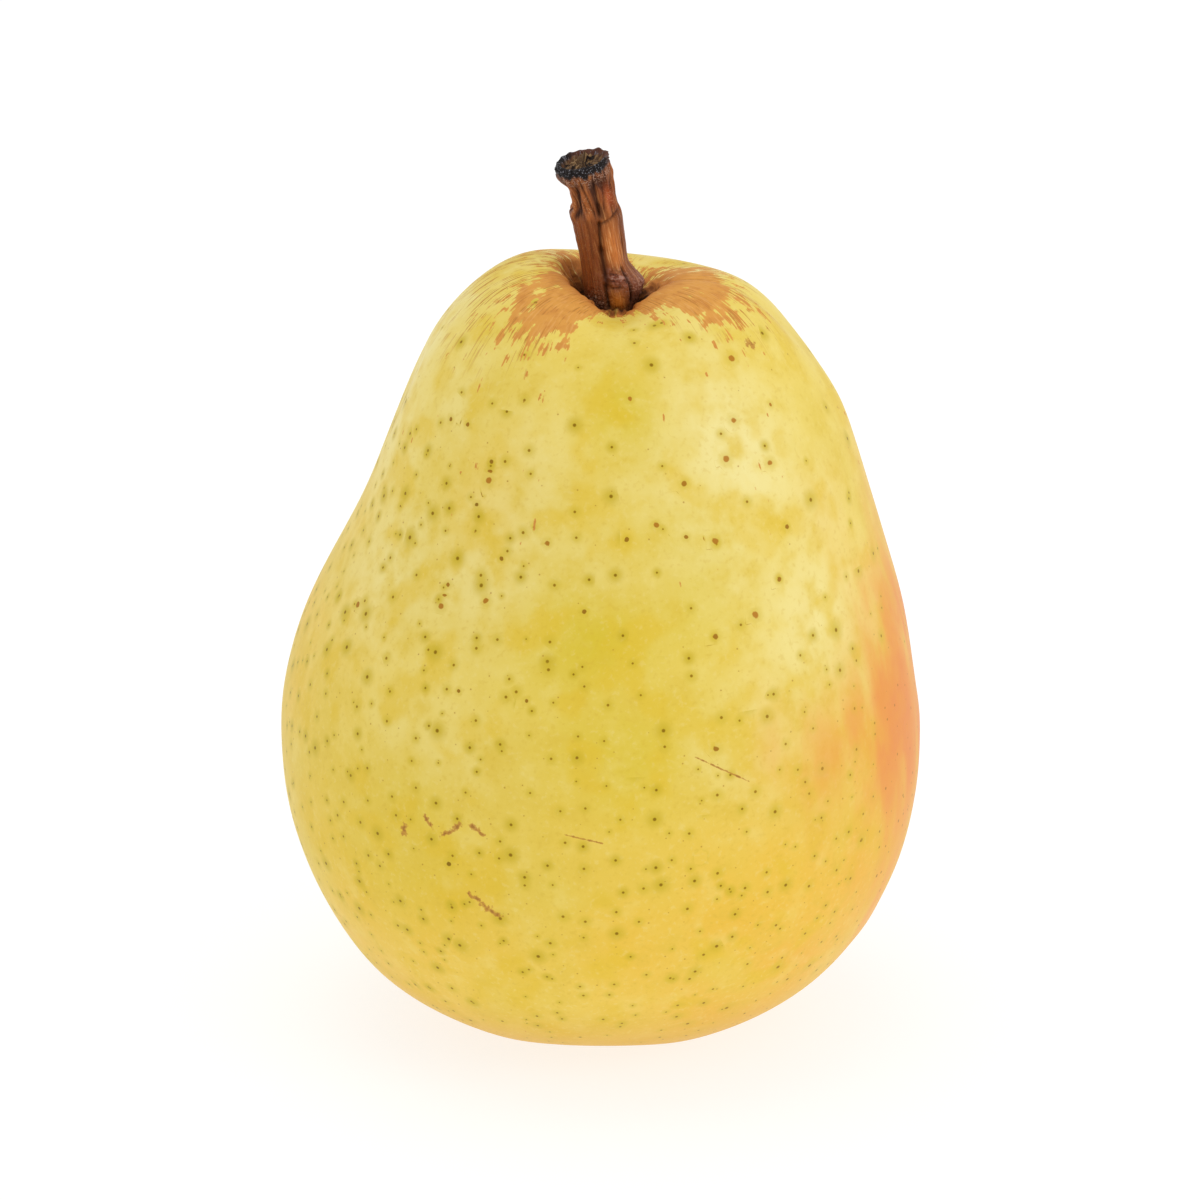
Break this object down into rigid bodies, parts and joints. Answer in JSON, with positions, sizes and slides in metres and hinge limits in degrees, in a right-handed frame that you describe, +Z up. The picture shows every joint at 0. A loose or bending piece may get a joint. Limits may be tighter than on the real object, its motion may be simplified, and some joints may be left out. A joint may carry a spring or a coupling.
{
  "type": "pear",
  "caption": "Whole ripe pear with a short woody stem leaning to one side and a dried calyx underneath, standing upright on the low lobes of its base.",
  "frame": {"origin": "on the surface that the pear stands on, under the middle of the fruit", "axes": "+Z up from the calyx to the stem, -Y towards the viewer, +X to the viewer's right; the stem leans towards -X"},
  "size_m": [0.0724, 0.0704, 0.101],
  "materials": {
    "pear_skin": "satin",
    "stem_bark": "matte",
    "dried_sepal": "matte"
  },
  "bodies": {
    "root": {"fruit": "pear_skin", "stem": "stem_bark", "calyx": "dried_sepal"}
  },
  "joints": []
}
